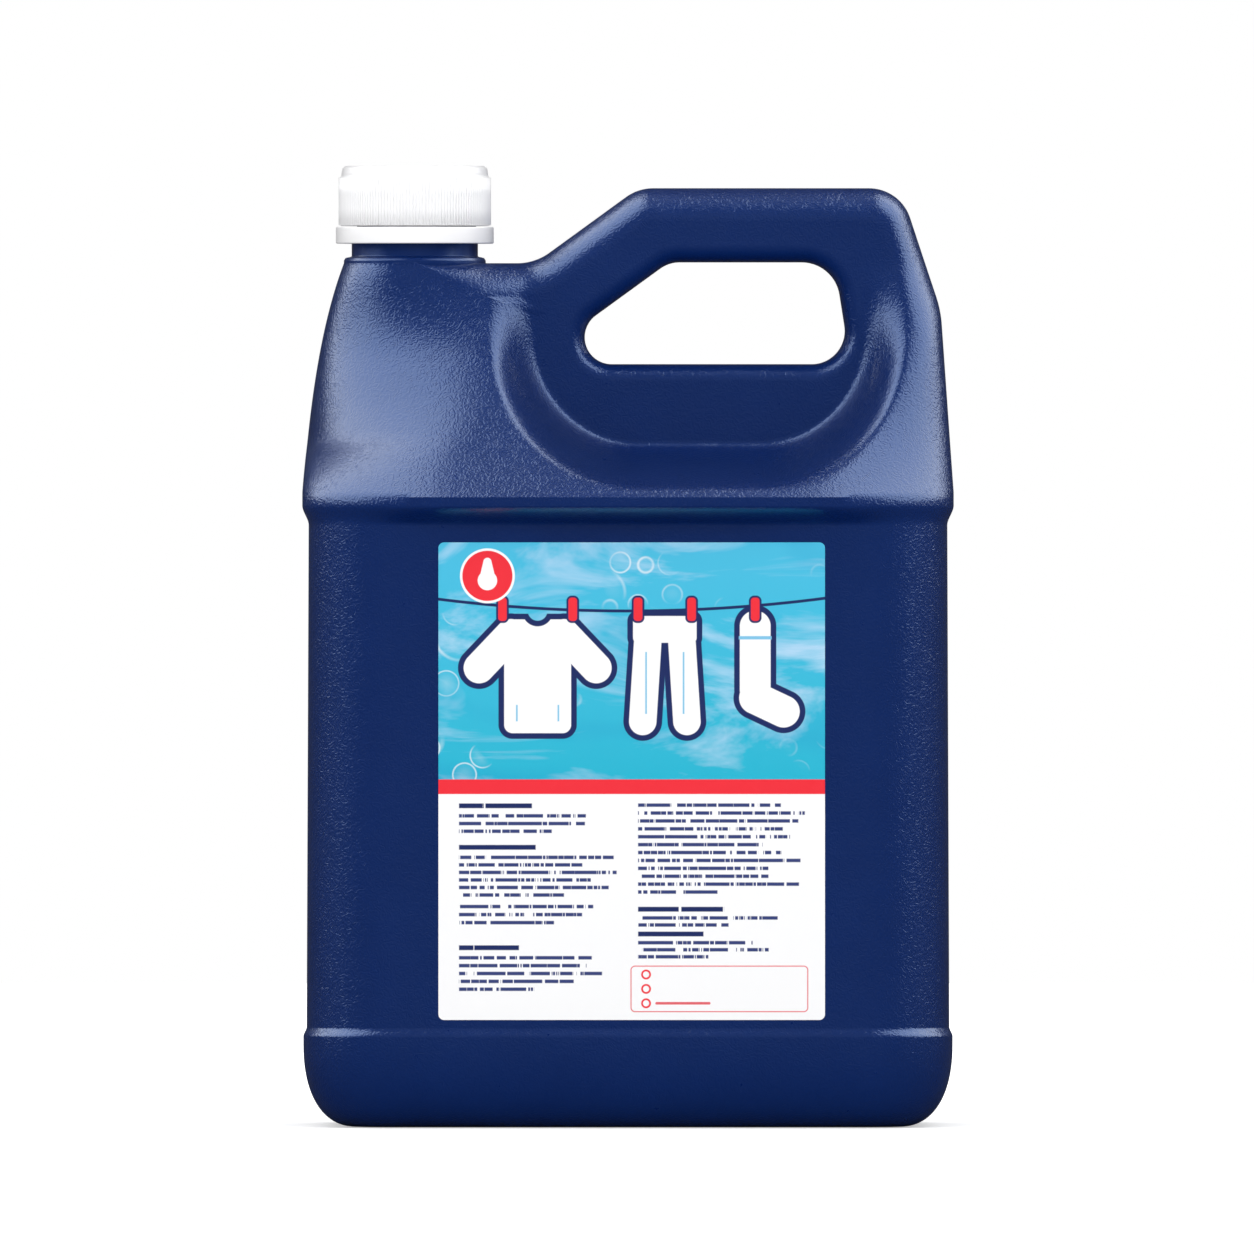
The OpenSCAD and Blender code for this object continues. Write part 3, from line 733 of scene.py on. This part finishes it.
def label_print():
    """A clothes line over water and bubbles, and bars in place of the small print."""
    s = Shader("printed label film", roughness=0.3)
    x, _, z = s.axes()
    sheet = Plane(x, z)
    soft = 0.1
    white, navy, red = srgb(244, 244, 245), srgb(18, 38, 98), srgb(238, 30, 48)
    top = LABEL_Z + LABEL_H

    def paint(colour, distance, ink, edge=soft, strength=1.0):
        return s.blend(distance.within(edge) * strength, colour, ink)

    # Water: a blue that lightens upwards, pale streams and bubbles
    water = s.blend((z - STRIPE_LOW_Z) / (top - STRIPE_LOW_Z), srgb(0, 176, 204), srgb(64, 186, 222))
    stretched = s.node("ShaderNodeMapping", {"Vector": s.place(), "Rotation": (0, 0.6, 0), "Scale": (1.0, 1.0, 2.6)})
    stream = s.noise(13.0, 5.0, 0.6, 1.2, stretched)
    water = s.blend(((stream - 0.47) * 4.0).high(0.0).low(0.75), water, srgb(206, 222, 246))
    deep = s.noise(9.0, 2.0, 0.5, 0.6, stretched)
    water = s.blend(((deep - 0.55) * 4.0).high(0.0).low(0.5), water, srgb(0, 150, 196))
    for cell, size, cover in ((0.011, 0.34, 0.52), (0.021, 0.36, 0.56)):
        spots = {"Vector": s.place(), "Scale": 1 / cell, "Randomness": 0.8}
        far = s.node("ShaderNodeTexVoronoi", spots, voronoi_dimensions="3D")
        rim = abs(far - size) - 0.012
        here = (s.noise(26.0, 1.0) - cover) * 12.0
        water = s.blend(far.within(size) * here.high(0.0).low(0.35), water, white)
        water = s.blend(rim.within(0.02) * here.high(0.0).low(0.8), water, white)

    # A line with a shirt, trousers and a sock, white with a navy edge
    sag = x * x * 0.0011 + LINE_Z
    cord = abs(z - sag) - 0.45
    shirt, legs, sock = sheet.at(-27, 137, True), sheet.at(11, 135, True), sheet.at(38, 137)
    wear = shirt.at(0, -2).box(20, 34, 2.5).low(shirt.bar((8.0, 10.5), (17.5, 0.5), 4.6))
    wear = wear.high(4.6 - shirt.at(0, 17.5).reach())
    wear = wear.low(legs.at(0, 14).box(19, 8, 1.5)).low(legs.bar((5.0, 12.0), (6.6, -13.5), 4.1))
    wear = wear.low(sock.bar((0, 13), (0, -6), 4.6)).low(sock.bar((0, -8.5), (8.5, -12.5), 4.8))
    print_top = paint(water, cord, navy)
    print_top = paint(print_top, wear - 1.7, navy)
    print_top = paint(print_top, wear, white)
    crease = abs(shirt.x - 6.2).high(abs(shirt.z + 13.0) - 2.2) - 0.25
    crease = crease.low(abs(legs.x - 5.6).high(abs(legs.z + 2.0) - 9.0) - 0.25)
    crease = crease.low(abs(sock.z - 9.5).high(abs(sock.x) - 4.4) - 0.5)
    print_top = paint(print_top, crease, srgb(120, 190, 225))
    for place in (-37.5, -16.5, 3.0, 19.0, 38.0):
        peg = sheet.at(place, LINE_Z + 0.5).box(2.6, 7.0, 1.0)
        print_top = paint(paint(print_top, peg - 0.6, navy), peg, red)

    # A red badge with a drop
    badge = sheet.at(-42, 165.0)
    drop = badge.at(0, -1.4).disc(2.9).low(badge.at(0, 0, True).bar((0, 4.2), (0.9, 0.4), 1.2))
    print_top = paint(paint(print_top, badge.disc(8.2), white), badge.disc(7.5), red)
    print_top = paint(print_top, drop, white)

    # Bars in columns in place of the small print
    colour = white

    def bars(colour, left, right, first, count, pitch, thick, ink, break_at=0.56):
        """Rows of bars broken like words, from the height first downwards."""
        row = ((first - z) / pitch + 0.5).floor()
        middle = row * -pitch + first
        along = s.node("ShaderNodeCombineXYZ", {"X": x * 0.42, "Y": row * 7.3 + first})
        gap = s.node("ShaderNodeTexNoise", {"Vector": along, "Scale": 1.0, "Detail": 3.0, "Roughness": 0.75})
        chance = s.node("ShaderNodeTexWhiteNoise", {"W": row + first}, noise_dimensions="1D")
        ragged = chance * (0.28 * (right - left))
        last = abs(row - (count - 1)) < 0.5
        ends = ragged + last * (0.3 * (right - left))
        shape = (abs(z - middle) - thick / 2).high(x - right + ends).high(left - x)
        inside = (shape.within(0.12) * (gap < break_at)) * (row > -0.5) * (row < count - 0.5)
        return s.blend(inside, colour, ink)

    ink = srgb(48, 62, 120)
    thin, bold, whole = 1.05, 1.45, 0.66
    left_edge, right_edge = -50.5, 3.0
    for first, count, pitch, head in ((96.3, 3, 2.3, 1), (83.9, 6, 2.25, 1), (66.2, 3, 2.4, 0), (53.9, 5, 2.35, 1)):
        if head:
            colour = bars(colour, left_edge, -8.0, first, 1, 2.4, bold, navy, whole)
        colour = bars(colour, left_edge, -3.0, first - head * 3.0, count, pitch, thin, ink)
    colour = bars(colour, right_edge, 53.5, 96.5, 12, 2.36, thin, ink)
    for first, count in ((65.4, 2), (58.0, 3)):
        colour = bars(colour, right_edge, 46.0, first, 1, 2.4, bold, navy, whole)
        colour = bars(colour, right_edge, 50.0, first - 2.6, count, 2.1, thin, ink)

    # A thin red box with three rings
    box = sheet.at(27.3, 41.6).box(52.8, 13.6, 1.2)
    pale = srgb(226, 96, 104)
    colour = paint(colour, abs(box) - 0.16, pale)
    for height in (45.9, 41.6, 37.3):
        colour = paint(colour, abs(sheet.at(5.4, height).reach() - 1.2) - 0.28, red)
    colour = paint(colour, sheet.at(16.4, 37.3).box(16.5, 0.8, 0.4), pale)

    colour = paint(colour, STRIPE_LOW_Z - z, red)
    colour = paint(colour, STRIPE_TOP_Z - z, print_top)
    s.set("Base Color", colour)
    s.set("Roughness", s.node("ShaderNodeMapRange", {"Value": s.noise(300.0, 2.0), "To Min": 0.3, "To Max": 0.4}))
    s.bump(s.noise(900.0, 2.0), 0.00001, 0.3)
    return s.material


def studio():
    """Floor, backdrop light, lamps and camera."""
    scene = bpy.context.scene
    scene.view_settings.view_transform = "Standard"
    world = bpy.data.worlds.new("studio")
    world.use_nodes = True
    scene.world = world
    nodes, links = world.node_tree.nodes, world.node_tree.links
    path = nodes.new("ShaderNodeLightPath")
    plain = nodes["Background"]
    plain.inputs["Color"].default_value = (1, 1, 1, 1)
    way = nodes.new("ShaderNodeSeparateXYZ")
    links.new(nodes.new("ShaderNodeTexCoord").outputs["Generated"], way.inputs[0])
    soft = nodes.new("ShaderNodeMapRange")
    soft.inputs["To Min"].default_value = 1.0
    soft.inputs["To Max"].default_value = 0.66
    links.new(way.outputs["Z"], soft.inputs["Value"])
    shine = nodes.new("ShaderNodeMapRange")
    links.new(soft.outputs[0], shine.inputs["To Min"])
    shine.inputs["To Max"].default_value = 0.05
    links.new(path.outputs["Is Glossy Ray"], shine.inputs["Value"])
    strength = nodes.new("ShaderNodeMapRange")
    strength.inputs["To Max"].default_value = 1.0
    links.new(shine.outputs[0], strength.inputs["To Min"])
    links.new(path.outputs["Is Camera Ray"], strength.inputs["Value"])
    links.new(strength.outputs[0], plain.inputs["Strength"])

    # The floor lies a hair under the jug's foot, so that the two faces never share a plane
    reach, low = 3.0, -0.0002
    corners = [(-reach, -reach, low), (reach, -reach, low), (reach, reach, low), (-reach, reach, low)]
    floor = mesh_object("floor", corners, [[0, 1, 2, 3]])
    paper = Shader("white floor", roughness=0.9)
    seen = paper.node("ShaderNodeLightPath", out="Is Camera Ray")
    far = paper.node("ShaderNodeVectorMath", {0: paper.place()}, out="Value", operation="LENGTH")
    glow = paper.node("ShaderNodeMapRange", {"Value": far, "From Min": 0.2, "From Max": 0.9,
                                             "To Min": 0.45, "To Max": 1.0})
    mirrored = paper.node("ShaderNodeLightPath", out="Is Glossy Ray")
    unseen = paper.blend(mirrored, (0.6, 0.6, 0.6, 1), (0.06, 0.06, 0.06, 1))
    paper.set("Base Color", paper.blend(seen, unseen, (0.9, 0.9, 0.9, 1)))
    paper.set("Emission Color", paper.blend(seen * glow, (0, 0, 0, 1), (1, 1, 1, 1)))
    paper.surface.inputs["Emission Strength"].default_value = 1.0
    paper.surface.inputs["Specular IOR Level"].default_value = 0.0
    floor.data.materials.append(paper.material)

    def lamp(name, azimuth, elevation, distance, size, strength, glossy=True, diffuse=True):
        """A softbox that looks at the jug, placed by degrees from the front and up; strength is in W per square metre."""
        data = bpy.data.lights.new(name, "AREA")
        data.shape = "RECTANGLE"
        data.size, data.size_y = size
        data.energy = strength * size[0] * size[1]
        box = bpy.data.objects.new(name, data)
        az, el = math.radians(azimuth), math.radians(elevation)
        way = Vector((math.sin(az) * math.cos(el), -math.cos(az) * math.cos(el), math.sin(el)))
        box.location = Vector((0, 0, 0.16)) + way * distance
        box.rotation_euler = way.to_track_quat("Z", "Y").to_euler()
        box.visible_glossy, box.visible_diffuse = glossy, diffuse
        scene.collection.objects.link(box)

    lamp("left softbox", -93, 45, 1.25, (1.5, 1.6), 15.0, diffuse=False)
    lamp("right softbox", 93, 45, 1.25, (1.5, 1.6), 15.0, diffuse=False)
    lamp("front fill", 0, 22, 2.2, (1.8, 1.2), 11.3, glossy=False)
    lamp("top fill", 0, 90, 1.7, (1.4, 1.4), 0.6)

    data = bpy.data.cameras.new("camera")
    camera = bpy.data.objects.new("camera", data)
    scene.collection.objects.link(camera)
    distance, rise, view_w = 12.0, math.radians(0.3), 0.3765
    target = Vector((-0.0003, 0, 0.1494))
    camera.location = target + Vector((0, -distance * math.cos(rise), distance * math.sin(rise)))
    camera.rotation_euler = (target - camera.location).to_track_quat("-Z", "Y").to_euler()
    data.sensor_width = 36
    data.lens = data.sensor_width * distance / view_w
    scene.camera = camera


jug = make_jug()
cap = make_cap()
ring = make_tamper_ring()
liner = make_liner()
label = make_label()

navy, white, wad, film = blown_plastic(), cap_plastic(), foam(), label_print()
ribs = make_ribs(white)
neck_thread = make_thread("neck_thread", navy, ROOT_R, 1.1, THREAD_Z + 1.2, 2.2)
cap_thread = make_thread("cap_thread", white, CAP_BORE_R, 1.0, THREAD_Z + 3.2, 2.0)

for piece, finish in ((jug, navy), (cap, white), (ring, white), (liner, wad), (label, film)):
    piece.data.materials.clear()
    piece.data.materials.append(finish)

PLACES = (
    (jug, "jug", "bottle", "blown_body"),
    (neck_thread, "jug", None, "blown_body"),
    (ring, "jug", "tamper_ring", "cap_white"),
    (label, "jug", "front_label", "label_film"),
    (liner, "wad", "cap_liner", "wad_foam"),
    (cap, "closure", "cap", "cap_white"),
    (ribs, "closure", None, "cap_white"),
    (cap_thread, "closure", None, "cap_white"),
)
for piece, body, node, slot in PLACES:
    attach(piece, body)
    if node:
        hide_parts(node)

studio()

bpy.context.view_layer.update()
